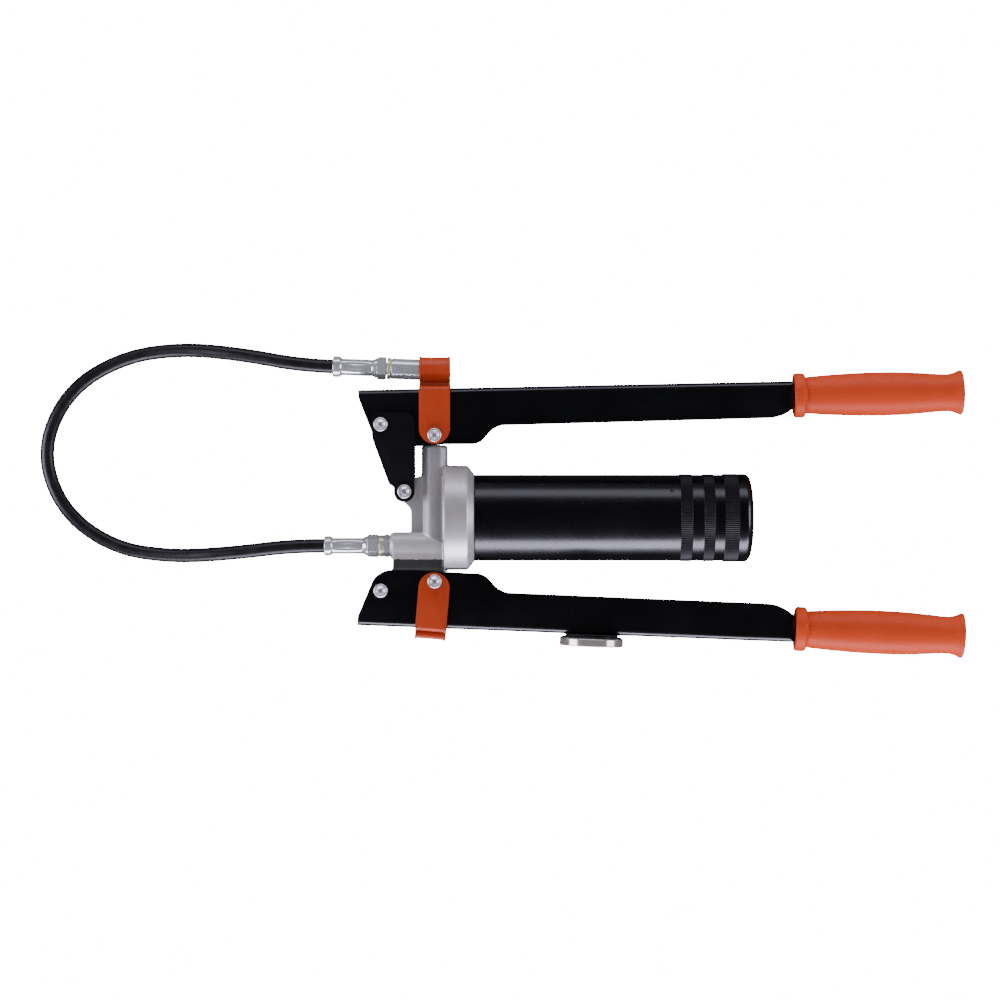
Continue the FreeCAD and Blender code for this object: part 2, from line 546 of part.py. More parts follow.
# ---- magnet holder under the fixed lever, drawn on the stamping ----
def on_web(shape):
    """Place a shape drawn upward from y = 0 square onto the stamping's web at the magnet."""
    (x0, y0), (x1, y1) = FIXED_WEB[0], FIXED_WEB[1]
    placed = shape.copy()
    placed.rotate(V(0, 0, 0), Z_AXIS, math.degrees(math.atan2(y1 - y0, x1 - x0)))
    placed.translate(V(MAGNET_X, web_height(MAGNET_X, FIXED_WEB), 0))
    return on_fixed_lever(placed)


def magnet_spacer():
    """Waisted spacer between the web and the magnet."""
    profile = [(0, 2.6), (0, 22.0), (0.4, 21.6), (0.9, 19.6), (1.4, 19.6), (SPACER_HEIGHT - 0.5, 22.8),
               (SPACER_HEIGHT, 23.3), (SPACER_HEIGHT, 2.6)]
    return on_web(turned_vertical(profile))


def magnet_pot():
    """Steel cup of the pot magnet."""
    base, rim = SPACER_HEIGHT, SPACER_HEIGHT + MAGNET_THICKNESS
    return on_web(turned_vertical([(base, 2.6), (base, MAGNET_RADIUS - 0.8), (base + 0.8, MAGNET_RADIUS),
                                   (rim - 0.5, MAGNET_RADIUS), (rim, MAGNET_RADIUS - 0.5), (rim, MAGNET_RADIUS - 2.5),
                                   (base + 2.0, MAGNET_RADIUS - 2.5), (base + 2.0, 2.6)]))


def magnet_core():
    """Ferrite ring that fills the cup, flush with its rim."""
    low, high = SPACER_HEIGHT + 2.0, SPACER_HEIGHT + MAGNET_THICKNESS
    return on_web(turned_vertical([(low, 5.2), (low, MAGNET_RADIUS - 2.5), (high, MAGNET_RADIUS - 2.5), (high, 5.2)]))


def magnet_screw():
    """Screw through the magnet, the spacer and the web, with its nut inside the channel."""
    screw = turned_vertical([(-6.5, 0), (-6.5, 2.5), (SPACER_HEIGHT + 2.05, 2.5), (SPACER_HEIGHT + 2.05, 4.6),
                             (SPACER_HEIGHT + 4.6, 4.6), (SPACER_HEIGHT + 5.0, 4.0), (SPACER_HEIGHT + 5.0, 0)])
    return on_web(screw)


def magnet_nut():
    """Thin nut inside the channel."""
    corner = 8.0 / math.sqrt(3)
    points = [V(corner * math.cos(math.radians(60 * k)), -SHEET - 4.0, corner * math.sin(math.radians(60 * k)))
              for k in range(7)]
    nut = Part.Face(Part.makePolygon(points)).extrude(V(0, 3.8, 0))
    return on_web(nut.cut(rod(V(0, -10, 0), Y_AXIS, 10, 2.55)))


# ---- hose ----
def hose():
    """The hose along its route: straight runs joined by tangent arcs, as large as the runs allow."""
    edges, radii = [], []
    at = HOSE_ROUTE[0]
    for before, corner, after in zip(HOSE_ROUTE, HOSE_ROUTE[1:], HOSE_ROUTE[2:]):
        back, ahead = before - corner, after - corner
        reach = 0.45 * min(back.Length, ahead.Length)
        back.normalize()
        ahead.normalize()
        half_turn = (math.pi - back.getAngle(ahead)) / 2
        radius = reach / math.tan(half_turn)
        radii.append(round(radius, 1))
        bisector = (back + ahead).normalize()
        middle = corner + bisector * (radius / math.cos(half_turn) - radius)
        start, end = corner + back * reach, corner + ahead * reach
        edges += [Part.LineSegment(at, start).toShape(), Part.Arc(start, middle, end).toShape()]
        at = end
    edges.append(Part.LineSegment(at, HOSE_ROUTE[-1]).toShape())
    path = Part.Wire(edges)
    section = Part.Wire(Part.makeCircle(HOSE_RADIUS, HOSE_ROUTE[0], HOSE_ROUTE[1] - HOSE_ROUTE[0]))
    solid = path.makePipeShell([section], True, False)
    expected = math.pi * HOSE_RADIUS ** 2 * path.Length
    print("hose length %.1f, radii %s, volume ratio %.4f" % (path.Length, radii, solid.Volume / expected))
    return solid


def build():
    """Every node of the gun, drawn on the centre plane."""
    moving_web_top = web_height(0, MOVING_WEB)
    fixed_web_top = web_height(0, FIXED_WEB) + 0.7
    fixed_clip = clip(fixed_web_top + 4.6, 7.0, 1.6, fixed_web_top)
    fixed_clip.rotate(V(0, 0, 0), Z_AXIS, -FIXED_CLIP_TILT)
    return {
        "head_casting": head_casting(), "barrel_seal": barrel_seal(), "plunger": plunger(), "link": link(),
        "link_rivet": rivet(LINK_PIVOT, LINK_HALF_INSIDE + LINK_SHEET + 0.05),
        "fulcrum_rivet": rivet(FULCRUM, LINK_HALF_INSIDE + LINK_SHEET + 0.05),
        "plunger_rivet": rivet(PLUNGER_PIN, CLIP_HALF_INSIDE + CLIP_SHEET + 0.05),
        "moving_lever": moving_lever(), "moving_grip": on_moving_lever(grip(MOVING_GRIP_START, MOVING_UNDERSIDE)),
        "coupler_clip": on_moving_lever(clip(COUPLER_CENTRE.y - PLUNGER_PIN.y, 8.4, 8.4, moving_web_top)),
        "fixed_lever": fixed_lever(), "fixed_grip": on_fixed_lever(grip(FIXED_GRIP_START, FIXED_UNDERSIDE)),
        "fixed_front_rivet": rivet(fixed_front_rivet(), LEVER_HALF_WIDTH + 0.05),
        "fixed_rear_rivet": rivet(FIXED_REAR_RIVET, CLIP_HALF_INSIDE + CLIP_SHEET + 0.05),
        "fixed_clip": on_fixed_lever(fixed_clip),
        "magnet_spacer": magnet_spacer(), "magnet_pot": magnet_pot(), "magnet_core": magnet_core(),
        "magnet_screw": magnet_screw(), "magnet_nut": magnet_nut(),
        "check_ball": check_ball(), "check_spring": check_spring(), "outlet_adapter": outlet_adapter(),
        "outlet_lock_ring": ring(-41.9, ADAPTER_HEX - 0.02, OUTLET_Y, 8.15, 4.05),
        "outlet_fitting": hose_fitting(-54.1, -50.6, -42.1, OUTLET_Y).cut(
            rod(V(ADAPTER_END - 0.1, OUTLET_Y, 0), X_AXIS, 5, 4.05)),
        "outlet_ferrule": ferrule(-83.4, -77.3, -54.1, OUTLET_Y, 7.4, 6.0),
        "hose": hose(),
        "coupler_ferrule": along_coupler(ferrule(-77.05, -70.5, -47.6, 0, 7.9, 6.3)),
        "coupler_fitting": along_coupler(hose_fitting(-47.6, -43.4, -36.6, 0).fuse(
            ring(-37.0, -24.0, 0, 4.45, PASSAGE_RADIUS))),
        "coupler_lock_ring": along_coupler(ring(-35.9, -33.05, 0, 8.2, 4.5)),
        "coupler_sleeve": along_coupler(coupler_sleeve()), "coupler_core": along_coupler(coupler_core()),
        "coupler_jaws": along_coupler(coupler_jaws()),
        "coupler_seal": along_coupler(ring(1.05, 3.4, 0, 3.0, 1.3)),
        "coupler_spring": along_coupler(coils(-16.8, -6.1, 0, 5.0, 0.5, 6)),
        "tube": tube(), "tube_end_cap": tube_end_cap(), "tube_gasket": tube_gasket(),
        "cartridge": cartridge_shell(), "follower_piston": follower_piston()}


def main():
    os.makedirs("parts", exist_ok=True)
    footprint = FreeCAD.BoundBox()
    for name, shape in build().items():
        shape.translate(FOOTPRINT_CENTRE * -1)
        shape.exportStep("parts/%s.step" % name)
        if not (name.startswith(("hose", "coupler_", "outlet_f")) and name != "coupler_clip"):
            footprint.add(shape.optimalBoundingBox())
    print("footprint", footprint)


main()
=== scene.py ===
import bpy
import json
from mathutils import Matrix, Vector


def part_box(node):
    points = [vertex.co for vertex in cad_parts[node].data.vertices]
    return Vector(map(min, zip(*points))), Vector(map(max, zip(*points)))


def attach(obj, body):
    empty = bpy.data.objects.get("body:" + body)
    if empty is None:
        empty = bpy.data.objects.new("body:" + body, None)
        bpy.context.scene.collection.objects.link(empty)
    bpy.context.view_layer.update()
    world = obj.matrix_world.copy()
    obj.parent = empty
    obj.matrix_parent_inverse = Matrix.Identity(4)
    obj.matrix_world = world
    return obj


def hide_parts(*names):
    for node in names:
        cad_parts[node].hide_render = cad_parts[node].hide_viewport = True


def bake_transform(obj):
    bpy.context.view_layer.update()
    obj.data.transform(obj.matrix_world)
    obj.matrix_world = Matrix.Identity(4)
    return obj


bl_info = {
    "name": "Two-Handed Grease Gun",
    "version": (1, 0, 0),
    "blender": (4, 5, 0),
    "location": "3D View > Sidebar > Grease Gun",
    "description": "Builds a lever grease gun with its hose, clips, grips, magnet and studio",
    "category": "Add Mesh",
}

import json
import math

import bpy
from bpy.props import FloatProperty, FloatVectorProperty, IntProperty, PointerProperty
from mathutils import Matrix, Vector

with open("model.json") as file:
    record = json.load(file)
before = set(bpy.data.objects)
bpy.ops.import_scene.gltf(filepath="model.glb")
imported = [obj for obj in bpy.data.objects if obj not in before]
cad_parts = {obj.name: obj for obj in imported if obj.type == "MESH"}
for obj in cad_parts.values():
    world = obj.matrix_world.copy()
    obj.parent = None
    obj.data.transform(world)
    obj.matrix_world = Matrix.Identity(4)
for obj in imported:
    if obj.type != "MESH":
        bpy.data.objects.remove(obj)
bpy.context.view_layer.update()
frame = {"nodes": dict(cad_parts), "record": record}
NODES = frame["nodes"]
MM = 0.001

MERGE_DISTANCE = 0.000001       # joins the loose triangles of a CAD mesh
WALL_MERGE_DISTANCE = 0.000002  # closes a turned wall on its own first station
RELIEF_DEPTH = 0.0002           # full height of a finish's bump, in metres
EDGE_ANGLE = math.radians(38.0)
FLAT_ANGLE = math.radians(0.5)

# The pump's barrel axis and the tube's axis cross at the datum, on the gun's centre plane.
barrel_low, barrel_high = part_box("plunger")
tube_low, tube_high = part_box("tube")
DATUM = Vector(((barrel_low.x + barrel_high.x) / 2, (tube_low.y + tube_high.y) / 2,
                (tube_low.z + tube_high.z) / 2))

# Places are x and y from the datum in millimetres, and tilts turn a piece in the gun's plane.
COUPLER_TILT = math.radians(-2.1)
COUPLER_PLACE = (0.0, 111.5)
OUTLET_PLACE = (0.0, -21.2)
FIXED_TILT = math.radians(-1.3)
FIXED_CLIP_TILT = math.radians(-4.7)
GRIP_TILT = math.radians(1.05)
PLUNGER_PIN = (0.1, 62.3)
FIXED_PIN = (0.2, -47.7)
MOVING_GRIP_START = (271.0, 30.1)
FIXED_GRIP_START = (272.5, -30.1)
CLIP_PLAIN_HALF = 10.0  # half the width of a clip between its two rolled edges

FLOOR_GLOW = 20.0             # seen by the camera only
STAGE_SHIFT = 0.1             # the middle of the lights, in metres along X from the datum
COOL_TINT = (0.83, 0.80, 1.0)
SENSOR_WIDTH = 36
VIEW_CENTRE = (49.4, 13.4)


# ------------------------------------------------------------------ settings

class GunSizes(bpy.types.PropertyGroup):
    """Sizes that a user may change"""
    hose_width: FloatProperty(name="Hose Width",
                              description="Outside diameter of the delivery hose", default=0.0107,
                              unit="LENGTH")
    knurl_depth: FloatProperty(name="Knurl Depth",
                               description="Depth of the straight knurl on the tube",
                               default=0.00032, unit="LENGTH")
    knurl_ridges: IntProperty(name="Knurl Ridges",
                              description="Ridges round the tube in each knurled band", default=138,
                              min=40, max=200)
    edge_radius: FloatProperty(name="Edge Radius", description="Rounding of pressed sheet edges",
                               default=0.0004, unit="LENGTH")
    lip_height: FloatProperty(name="Clip Lip Height",
                              description="How far the clips' edges are rolled up", default=0.0005,
                              unit="LENGTH")
    cast_grain: FloatProperty(name="Casting Voxel", description="Fineness of the casting's mesh",
                              default=0.0007, unit="LENGTH")
    camera_height: FloatProperty(name="Camera Height",
                                 description="Camera distance above the centre plane", default=2.4,
                                 unit="LENGTH")
    view_width: FloatProperty(name="View Width",
                              description="Width that the camera sees at the centre plane",
                              default=0.756, unit="LENGTH")
    light_power: FloatProperty(name="Light Power",
                               description="Overall strength of the studio lights", default=1.0,
                               min=0.0)


class GunColours(bpy.types.PropertyGroup):
    """Main colours of the finishes"""
    casting: FloatVectorProperty(name="Casting", description="Tumbled die casting", subtype="COLOR",
                                 size=3, default=(0.27, 0.26, 0.265))
    enamel: FloatVectorProperty(name="Black Enamel", description="Enamel on levers and tube",
                                subtype="COLOR", size=3, default=(0.0012, 0.0012, 0.0016))
    orange: FloatVectorProperty(name="Orange", description="Orange of clips and grips",
                                subtype="COLOR", size=3, default=(0.28, 0.024, 0.003))
    zinc: FloatVectorProperty(name="Bright Zinc", description="Plating on rivets and fittings",
                              subtype="COLOR", size=3, default=(0.86, 0.87, 0.93))
    rubber: FloatVectorProperty(name="Hose Rubber", description="Cover of the hose",
                                subtype="COLOR", size=3, default=(0.0045, 0.0045, 0.005))


# ------------------------------------------------------------------ finishes

def blank_finish(name):
    """A new material with its shader and an Object coordinate to build on."""
    finish = bpy.data.materials.new(name)
    finish.use_nodes = True
    tree = finish.node_tree
    shader = tree.nodes["Principled BSDF"]
    place = tree.nodes.new("ShaderNodeTexCoord")
    return finish, tree, shader, place


def grain(tree, place, scale, detail, stretch=(1, 1, 1)):
    """Noise in Object coordinates, stretched along an axis where the finish is drawn."""
    mapping = tree.nodes.new("ShaderNodeMapping")
    mapping.inputs["Scale"].default_value = stretch
    noise = tree.nodes.new("ShaderNodeTexNoise")
    noise.inputs["Scale"].default_value = scale
    noise.inputs["Detail"].default_value = detail
    tree.links.new(place.outputs["Object"], mapping.inputs["Vector"])
    tree.links.new(mapping.outputs["Vector"], noise.inputs["Vector"])
    return noise.outputs["Fac"]


def span(tree, value, low, high, start=0.3, end=0.7):
    """Spread a grain value over a range."""
    spread = tree.nodes.new("ShaderNodeMapRange")
    spread.inputs["From Min"].default_value = start
    spread.inputs["From Max"].default_value = end
    spread.inputs["To Min"].default_value = low
    spread.inputs["To Max"].default_value = high
    tree.links.new(value, spread.inputs["Value"])
    return spread.outputs["Result"]


def shades(tree, value, dark, light, start=0.3, end=0.7):
    """A colour that drifts between two shades."""
    ramp = tree.nodes.new("ShaderNodeValToRGB")
    ramp.color_ramp.elements[0].position = start
    ramp.color_ramp.elements[0].color = (*dark, 1)
    ramp.color_ramp.elements[1].position = end
    ramp.color_ramp.elements[1].color = (*light, 1)
    tree.links.new(value, ramp.inputs["Fac"])
    return ramp.outputs["Color"]


def relief(tree, shader, heights):
    """Bump from one or more grain values, the coarse ones first."""
    normal = None
    for value, strength in heights:
        bump = tree.nodes.new("ShaderNodeBump")
        bump.inputs["Strength"].default_value = strength
        bump.inputs["Distance"].default_value = RELIEF_DEPTH
        tree.links.new(value, bump.inputs["Height"])
        if normal:
            tree.links.new(normal, bump.inputs["Normal"])
        normal = bump.outputs["Normal"]
    tree.links.new(normal, shader.inputs["Normal"])


def scaled(colour, amount):
    """A colour made lighter or darker, and never brighter than white."""
    return tuple(min(1.0, part * amount) for part in colour)


def make_finish(name, colour, *, metallic, rough, coarse, fine, bump, drift=0.12, stretch=(1, 1, 1),
                specular=0.5):
    """A finish with drifting shade, patchy gloss and two sizes of grain.

    rough is the lowest and highest roughness, coarse and fine are the scales of the two grains,
    and drift is how far the shade goes to each side of the colour.
    """
    finish, tree, shader, place = blank_finish(name)
    patches = grain(tree, place, coarse, 4, stretch)
    specks = grain(tree, place, fine, 3, stretch)
    shade = shades(tree, patches, scaled(colour, 1 - drift), scaled(colour, 1 + drift))
    tree.links.new(shade, shader.inputs["Base Color"])
    tree.links.new(span(tree, patches, *rough), shader.inputs["Roughness"])
    relief(tree, shader, [(patches, bump * 0.4), (specks, bump)])
    shader.inputs["Metallic"].default_value = metallic
    shader.inputs["Specular IOR Level"].default_value = specular
    return finish


def cast_finish(name, colour, metallic=0.5, turned=False):
    """Tumbled die casting: satin metal with fine pits, and turning marks where it is machined."""
    finish, tree, shader, place = blank_finish(name)
    flow = grain(tree, place, scale=55, detail=5)
    skin = grain(tree, place, scale=1500, detail=4)
    pits = tree.nodes.new("ShaderNodeTexVoronoi")
    pits.inputs["Scale"].default_value = 1100
    tree.links.new(place.outputs["Object"], pits.inputs["Vector"])
    pit_depth = span(tree, pits.outputs["Distance"], low=0.0, high=1.0, start=0.05, end=0.3)
    heights = [(flow, 0.06), (skin, 0.16), (pit_depth, 0.04)]
    if turned:
        rings = tree.nodes.new("ShaderNodeTexWave")
        rings.inputs["Scale"].default_value = 700
        rings.inputs["Distortion"].default_value = 0.4
        tree.links.new(place.outputs["Object"], rings.inputs["Vector"])
        heights.append((rings.outputs["Fac"], 0.12))
    shade = shades(tree, flow, scaled(colour, 0.9), scaled(colour, 1.1))
    tree.links.new(shade, shader.inputs["Base Color"])
    tree.links.new(span(tree, skin, low=0.34, high=0.48), shader.inputs["Roughness"])
    relief(tree, shader, heights)
    shader.inputs["Metallic"].default_value = metallic
    return finish


def all_finishes(colours):
    """Every finish by the record's slot name."""
    enamel, orange, zinc = tuple(colours.enamel), tuple(colours.orange), tuple(colours.zinc)
    return {
        "die_casting": cast_finish("Tumbled die casting", tuple(colours.casting)),
        "black_enamel": make_finish(
            "Black lever enamel", enamel, metallic=0.0, rough=(0.20, 0.28), coarse=28, fine=420,
            bump=0.006, drift=0.2, specular=0.8),
        "black_gloss": make_finish(
            "Black tube enamel", enamel, metallic=0.0, rough=(0.24, 0.30), coarse=22, fine=300,
            bump=0.003, drift=0.2, specular=0.75),
        "orange_enamel": make_finish(
            "Orange clip enamel", orange, metallic=0.0, rough=(0.28, 0.38), coarse=40, fine=900,
            bump=0.05, drift=0.05, specular=0.35),
        "orange_grip": make_finish(
            "Orange grip plastic", scaled(orange, 1.3), metallic=0.0, rough=(0.42, 0.52), coarse=30,
            fine=2600, bump=0.12, drift=0.05, specular=0.2),
        "bright_zinc": make_finish(
            "Bright zinc plating", zinc, metallic=0.82, rough=(0.15, 0.25), coarse=60, fine=1200,
            bump=0.02, drift=0.04),
        "yellow_zinc": make_finish(
            "Yellow zinc plating", (0.72, 0.66, 0.44), metallic=0.7, rough=(0.20, 0.32), coarse=80,
            fine=900, bump=0.04, drift=0.16),
        "nickel_plate": make_finish(
            "Nickel plating", (0.74, 0.70, 0.63), metallic=0.85, rough=(0.10, 0.19), coarse=40,
            fine=700, bump=0.02, drift=0.05),
        "ferrite": make_finish(
            "Ferrite ring", (0.035, 0.035, 0.037), metallic=0.0, rough=(0.55, 0.75), coarse=220,
            fine=2200, bump=0.18, drift=0.2),
        "hose_rubber": make_finish(
            "Hose rubber", tuple(colours.rubber), metallic=0.0, rough=(0.30, 0.40), coarse=120,
            fine=1800, bump=0.08, drift=0.2),
        "seal_rubber": make_finish(
            "Seal rubber", (0.018, 0.018, 0.02), metallic=0.0, rough=(0.45, 0.6), coarse=160,
            fine=1500, bump=0.1, drift=0.2),
        "spring_steel": make_finish(
            "Hardened steel", (0.42, 0.42, 0.44), metallic=1.0, rough=(0.16, 0.28), coarse=90,
            fine=1400, bump=0.04, drift=0.1, stretch=(1, 0.08, 1)),
        "cartridge_plastic": make_finish(
            "Cartridge plastic", (0.62, 0.60, 0.54), metallic=0.0, rough=(0.32, 0.45), coarse=35,
            fine=800, bump=0.06, drift=0.05),
        "black_plastic": make_finish(
            "Black spacer plastic", (0.012, 0.012, 0.013), metallic=0.0, rough=(0.38, 0.52),
            coarse=90, fine=1500, bump=0.1, drift=0.2),
    }


def vary_faces(piece, finish, test):
    """Give the faces whose centre, taken from the datum, passes a test a finish of their own."""
    piece.data.materials.append(finish)
    index = len(piece.data.materials) - 1
    for face in piece.data.polygons:
        if test(face.center - DATUM):
            face.material_index = index


def finish_for(slot):
    """The finish of a slot, made on first use and remembered on the scene by name."""
    scene = bpy.context.scene
    made = bpy.data.materials.get(scene.get("finish_" + slot, ""))
    if made is None:
        for key, finish in all_finishes(scene.gun_colours).items():
            scene["finish_" + key] = finish.name
        made = bpy.data.materials[scene["finish_" + slot]]
    return made


# ------------------------------------------------------------------ modelling helpers

def clear_selection():
    bpy.ops.object.select_all(action="DESELECT")


def make_active(piece):
    clear_selection()
    piece.select_set(True)
    bpy.context.view_layer.objects.active = piece


def edit_all(piece):
    """Edit mode with the whole mesh selected."""
    make_active(piece)
    bpy.ops.object.mode_set(mode="EDIT")
    bpy.ops.mesh.select_mode(type="VERT")
    bpy.ops.mesh.select_all(action="SELECT")


def leave_edit():
    bpy.ops.object.mode_set(mode="OBJECT")


def place_piece(piece, x, y, z=0.0, turn=(0.0, 0.0, 0.0)):
    """Turn a piece and move it to a point of the gun's plane, in millimetres, and apply both."""
    make_active(piece)
    piece.rotation_euler = turn
    piece.location = DATUM + Vector((x, y, z)) * MM
    bpy.ops.object.transform_apply(location=True, rotation=True, scale=True)


def turn_piece(name, stations, sides, hollow=False):
    """Turn a piece about X by extruding and resizing a circle from station to station.

    A station is (x, radius) in millimetres. A hollow piece has the same first and last station,
    where its walls are merged.
    """
    clear_selection()
    first_x, first_radius = stations[0]
    bpy.ops.mesh.primitive_circle_add(vertices=sides, radius=first_radius * MM,
                                      location=(first_x * MM, 0, 0), rotation=(0, math.pi / 2, 0),
                                      fill_type="NOTHING" if hollow else "NGON")
    piece = bpy.context.object
    piece.name = name
    bpy.ops.object.transform_apply(location=True, rotation=True, scale=True)
    bpy.ops.object.mode_set(mode="EDIT")
    bpy.ops.mesh.select_all(action="SELECT")
    extrude = bpy.ops.mesh.extrude_edges_move if hollow else bpy.ops.mesh.extrude_region_move
    x, radius = first_x, first_radius
    for next_x, next_radius in stations[1:]:
        extrude(TRANSFORM_OT_translate={"value": ((next_x - x) * MM, 0, 0)})
        ratio = next_radius / radius
        bpy.ops.transform.resize(value=(1, ratio, ratio), center_override=(next_x * MM, 0, 0))
        x, radius = next_x, next_radius
    bpy.ops.mesh.select_all(action="SELECT")
    if hollow:
        bpy.ops.mesh.remove_doubles(threshold=WALL_MERGE_DISTANCE)
    bpy.ops.mesh.normals_make_consistent(inside=False)
    leave_edit()
    return piece


def smooth_piece(piece, angle):
    """Shade a piece smooth, except across edges sharper than an angle in degrees."""
    make_active(piece)
    bpy.ops.object.shade_smooth_by_angle(angle=math.radians(angle))


def bevel_piece(piece, width, segments=2):
    """Round a piece's edges where its faces meet sharply."""
    make_active(piece)
    rounding = piece.modifiers.new("Rounding", "BEVEL")
    rounding.width = width
    rounding.segments = segments
    rounding.limit_method = "ANGLE"
    rounding.angle_limit = EDGE_ANGLE
    rounding.miter_outer = "MITER_ARC"
    bpy.ops.object.modifier_apply(modifier="Rounding")


def copy_node(node, name):
    """A copy of a CAD node's mesh, with its loose triangles merged and its flat faces joined."""
    piece = bpy.data.objects.new(name, NODES[node].data.copy())
    bpy.context.scene.collection.objects.link(piece)
    edit_all(piece)
    bpy.ops.mesh.remove_doubles(threshold=MERGE_DISTANCE)
    bpy.ops.mesh.dissolve_limited(angle_limit=FLAT_ANGLE)
    leave_edit()
    return piece


def finish_piece(piece, body, slot, node, angle=35.0, finish=None):
    """Shade a piece, give it its finish, and let it ride on its body in place of its CAD node.

    The finish is the slot's, unless the piece has one of its own.
    """
    smooth_piece(piece, angle)
    piece.data.materials.clear()
    piece.data.materials.append(finish or finish_for(slot))
    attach(piece, body)
    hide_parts(node)


def rounded_node(node, name, body, slot, width, segments=2, finish=None):
    """A CAD node with its edges rounded by a width in millimetres."""
    piece = copy_node(node, name)
    bevel_piece(piece, width * MM, segments)
    finish_piece(piece, body, slot, node, finish=finish)


def slot_of(node):
    """The material slot that the record gives a CAD node."""
    for part in frame["record"]["subparts"]:
        if part["node"] == node:
            return part["material_slot"]
    raise ValueError("no slot for " + node)


def select_faces(piece, test):
    """Enter edit mode with the faces selected that pass a test of centre and normal."""
    make_active(piece)
    bpy.ops.object.mode_set(mode="EDIT")
    bpy.ops.mesh.select_mode(type="FACE")
    bpy.ops.mesh.select_all(action="DESELECT")
    leave_edit()
    for face in piece.data.polygons:
        face.select = bool(test(face.center, face.normal))
    bpy.ops.object.mode_set(mode="EDIT")


def select_vertices(piece, test):
    """Enter edit mode with the vertices selected that pass a test of place."""
    make_active(piece)
    bpy.ops.object.mode_set(mode="EDIT")
    bpy.ops.mesh.select_mode(type="VERT")
    bpy.ops.mesh.select_all(action="DESELECT")
    leave_edit()
    for vertex in piece.data.vertices:
        vertex.select = bool(test(vertex.co))
    bpy.ops.object.mode_set(mode="EDIT")


def line_round(point, sides):
    """Which of a turned piece's lines along X a point is on, counted round the axis."""
    return round(math.atan2(point.z, point.y) / (2 * math.pi / sides))


# ------------------------------------------------------------------ pieces

class GREASEGUN_OT_hose(bpy.types.Operator):
    """Lay the delivery hose in its loop"""
    bl_idname = "greasegun.hose"
    bl_label = "Delivery Hose"

    def execute(self, context):
        low = -0.03410  # where the hose lies on the ground, below the centre plane
        route = [(-0.08345, -0.02120, 0.0), (-0.10700, -0.02120, 0.0), (-0.15400, -0.02700, -0.008),
                 (-0.20100, -0.03000, -0.024), (-0.24800, -0.02300, low), (-0.28700, 0.00600, low),
                 (-0.30200, 0.05200, low), (-0.28200, 0.09700, low), (-0.24100, 0.12250, low),
                 (-0.19400, 0.12900, -0.024), (-0.14700, 0.12400, -0.008), (-0.10100, 0.11520, 0.0),
                 (-0.07710, 0.11433, 0.0)]
        route = [DATUM + Vector(point) for point in route]
        width = context.scene.gun_sizes.hose_width
        clear_selection()
        line = bpy.data.curves.new("Hose line", "CURVE")
        line.dimensions = "3D"
        spline = line.splines.new("NURBS")
        spline.points.add(len(route) - 1)
        for point, place in zip(spline.points, route):
            point.co = (*place, 1.0)
        spline.order_u = 3
        spline.use_endpoint_u = True
        spline.resolution_u = 16
        guide = bpy.data.objects.new("Hose guide", line)
        context.scene.collection.objects.link(guide)
        context.view_layer.update()
        bare = bpy.data.meshes.new_from_object(guide)
        bpy.data.meshes.remove(bare)
        line.bevel_depth = width / 2
        line.bevel_resolution = 10
        line.use_fill_caps = True
        make_active(guide)
        bpy.ops.object.convert(target="MESH")
        hose = context.object
        hose.name = "Delivery_Hose"
        edit_all(hose)
        bpy.ops.mesh.remove_doubles(threshold=WALL_MERGE_DISTANCE)
        bpy.ops.mesh.normals_make_consistent(inside=False)
        leave_edit()
        smooth_piece(hose, 60)
        hose.data.materials.clear()
        hose.data.materials.append(finish_for("hose_rubber"))
        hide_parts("hose")
        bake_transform(hose)
        return {"FINISHED"}


class GREASEGUN_OT_casting(bpy.types.Operator):
    """Soften the pump head into a tumbled casting"""
    bl_idname = "greasegun.casting"
    bl_label = "Pump Casting"

    def execute(self, context):
        casting = copy_node("head_casting", "Pump_Casting")
        skin = casting.modifiers.new("Skin", "REMESH")
        skin.mode = "VOXEL"
        skin.voxel_size = context.scene.gun_sizes.cast_grain
        fillets = casting.modifiers.new("Fillets", "SMOOTH")
        fillets.factor = 0.5
        fillets.iterations = 3
        fewer = casting.modifiers.new("Fewer faces", "DECIMATE")
        fewer.ratio = 0.7
        for step in (skin.name, fillets.name, fewer.name):
            bpy.ops.object.modifier_apply(modifier=step)
        finish_piece(casting, "head", "die_casting", "head_casting", angle=60)

        metal = tuple(context.scene.gun_colours.casting)
        # Painted light: the outlet boss and the faces below it get a copy of the casting at 1.75
        # times its colour, lighter where it faces the side lights.
        outlet = cast_finish("Outlet casting with painted light", scaled(metal, 1.75), 0.55)
        # Painted shade: a copy of the casting at 0.12 of its colour darkens the web below the
        # outlet boss, where the boss and the fixed lever shade it.
        dark = cast_finish("Painted shade below the boss", scaled(metal, 0.12), 0.2)
        # The machined cup has real turning marks and more metal gloss, and its colour at 2.3 times
        # the casting's is painted light, for the side lights it faces.
        turned = cast_finish("Turned casting with painted light", scaled(metal, 2.3), 0.78, turned=True)
        outlet_top, outlet_end, slope = -11.0 * MM, -8.0 * MM, 0.6
        # Below this height the casting gets the painted shade.
        painted_shade_top = -31.5 * MM
        # Past this station the cup gets its turning marks and the painted light.
        cup_start = 7.2 * MM

        # Faces under the outlet's line, which slants down past outlet_end, get the painted light.
        def on_outlet(at):
            past_end = max(0.0, at.x - outlet_end)
            return at.y < outlet_top - slope * past_end

        vary_faces(casting, outlet, on_outlet)
        vary_faces(casting, dark, lambda at: at.y < painted_shade_top)
        vary_faces(casting, turned, lambda at: at.x > cup_start)
        return {"FINISHED"}


